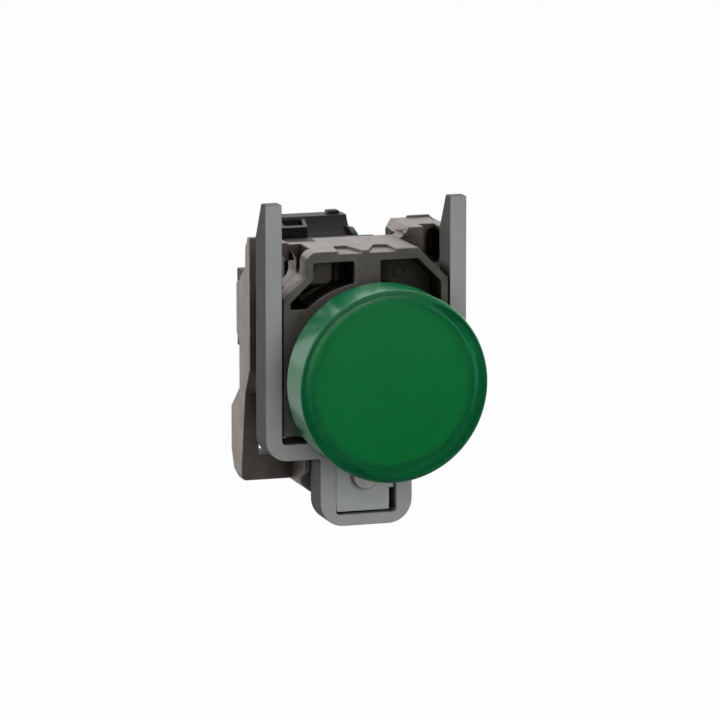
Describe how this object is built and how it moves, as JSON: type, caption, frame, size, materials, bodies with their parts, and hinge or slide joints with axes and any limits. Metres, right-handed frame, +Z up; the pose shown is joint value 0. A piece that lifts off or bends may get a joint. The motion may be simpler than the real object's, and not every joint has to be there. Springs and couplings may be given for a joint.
{
  "type": "panel pilot light",
  "caption": "Round green panel pilot light on a die-cast fixing collar with a screw-driven clamp frame and a lamp block with screw terminals.",
  "frame": {"origin": "on the head's axis, in the front face of the panel, which is the back face of the gasket", "axes": "+Y along the head's axis into the panel, +Z up towards the two prongs, +X to the right seen from the front"},
  "size_m": [0.03, 0.054, 0.047],
  "materials": {
    "lens_green": "tinted translucent green plastic, glossy, smooth",
    "diffuser_white": "milky white plastic, matt",
    "seal_rubber": "black nitrile rubber, matt",
    "bezel_metal": "nickel-plated zinc alloy, satin",
    "cast_zinc": "raw die-cast zinc alloy, matt warm grey with a fine cast grain",
    "clamp_metal": "smooth matt grey plated steel",
    "lock_black": "black plastic, matt",
    "screw_zinc": "zinc-plated steel",
    "housing_black": "black moulded plastic, satin",
    "led_epoxy": "clear epoxy",
    "lead_tin": "tinned wire",
    "socket_white": "white moulded plastic, matt",
    "board_green": "green circuit board laminate",
    "part_amber": "dipped film capacitor, glossy amber",
    "part_blue": "metal film resistor body, pale blue",
    "part_black": "moulded rectifier, black",
    "contact_brass": "brass strip",
    "clamp_steel": "yellow-passivated zinc-plated steel"
  },
  "bodies": {
    "collar": {"lens": "lens_green", "diffuser": "diffuser_white", "lens_seal": "seal_rubber", "bezel": "bezel_metal", "panel_gasket": "seal_rubber", "collar_body": "cast_zinc", "block_front": "housing_black", "block_case": "housing_black", "led": "led_epoxy", "led_leads": "lead_tin", "led_socket": "socket_white", "circuit_board": "board_green", "capacitor": "part_amber", "resistors": "part_blue", "rectifier": "part_black", "upper_strip": "contact_brass", "lower_strip": "contact_brass"},
    "clamp": {"clamp_frame": "clamp_metal", "pressure_plate": "cast_zinc"},
    "clamp_screw": {"clamp_screw": "screw_zinc"},
    "lock": {"lock_ring": "lock_black"},
    "upper_clamp": {"upper_clamp": "clamp_steel"},
    "upper_screw": {"upper_screw": "screw_zinc"},
    "lower_clamp": {"lower_clamp": "clamp_steel"},
    "lower_screw": {"lower_screw": "screw_zinc"}
  },
  "joints": [
    {"name": "clamp_slide", "type": "slide", "parent": "collar", "child": "clamp", "axis": [0, -1, 0], "range_m": [0, 0.0044]},
    {"name": "clamp_screw_turn", "type": "hinge", "parent": "clamp", "child": "clamp_screw", "pos_m": [0, 0.0262, -0.0155], "axis": [0, -1, 0], "range_deg": [0, 2262.87]},
    {"name": "lock_turn", "type": "hinge", "parent": "collar", "child": "lock", "pos_m": [0, 0.0193, 0], "axis": [0, 1, 0], "range_deg": [0, 30]},
    {"name": "upper_screw_turn", "type": "hinge", "parent": "collar", "child": "upper_screw", "pos_m": [-0.003, 0.0386, 0.0115], "axis": [0, -1, 0], "range_deg": [0, 1440.01]},
    {"name": "upper_clamp_slide", "type": "slide", "parent": "collar", "child": "upper_clamp", "axis": [0, 1, 0], "range_m": [0, 0.002]},
    {"name": "lower_screw_turn", "type": "hinge", "parent": "collar", "child": "lower_screw", "pos_m": [0.003, 0.0386, -0.0057], "axis": [0, -1, 0], "range_deg": [0, 1440.01]},
    {"name": "lower_clamp_slide", "type": "slide", "parent": "collar", "child": "lower_clamp", "axis": [0, 1, 0], "range_m": [0, 0.002]}
  ],
  "couplings": [
    {"joint": "clamp_screw_turn", "follows": "clamp_slide", "rad_per_m": 8976},
    {"joint": "upper_screw_turn", "follows": "upper_clamp_slide", "rad_per_m": 12566},
    {"joint": "lower_screw_turn", "follows": "lower_clamp_slide", "rad_per_m": 12566}
  ]
}
